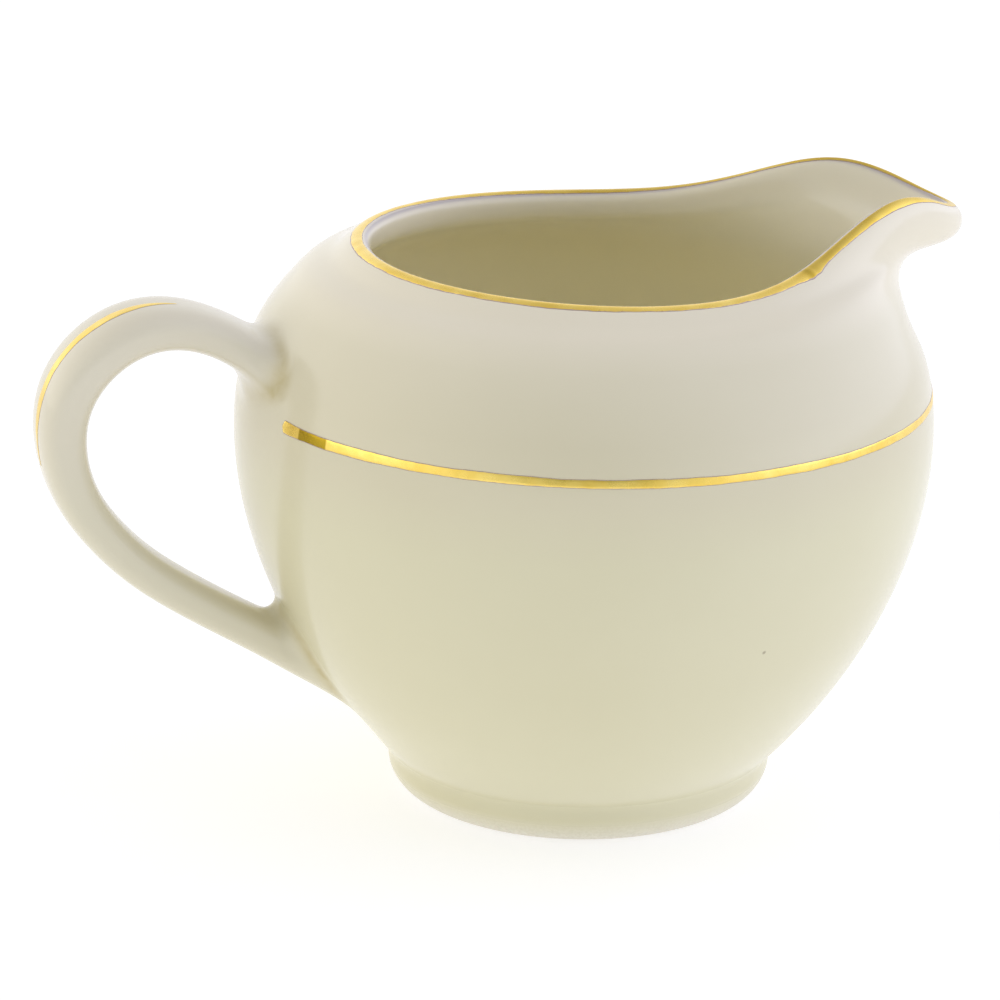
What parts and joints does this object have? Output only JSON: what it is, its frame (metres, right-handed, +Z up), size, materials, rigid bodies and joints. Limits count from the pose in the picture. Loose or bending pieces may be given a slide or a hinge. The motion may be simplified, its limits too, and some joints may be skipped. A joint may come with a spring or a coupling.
{
  "type": "cream jug",
  "caption": "Small porcelain cream jug: round body on a foot ring, pulled pouring spout, ear-shaped handle, and gilded lines on rim, belly and handle",
  "frame": {"origin": "centre of the foot ring on the plane it stands on", "axes": "+Z up along the body's axis, +X towards the pouring spout, -X towards the handle, +Y to the left of the spout"},
  "size_m": [0.1291, 0.095, 0.0836],
  "materials": {
    "glazed_porcelain": "warm ivory porcelain under a clear soft-gloss glaze",
    "foot_porcelain": "glazed ivory porcelain, bare and dry where it stands",
    "luting_slip": "porcelain slip under slightly pooled glaze",
    "gilding": "burnished painted gold"
  },
  "bodies": {
    "root": {"bowl": "glazed_porcelain", "foot_ring": "foot_porcelain", "handle": "glazed_porcelain", "upper_handle_joint": "luting_slip", "lower_handle_joint": "luting_slip", "rim_gold_line": "gilding", "belly_gold_line": "gilding", "handle_gold_line": "gilding"}
  },
  "joints": []
}
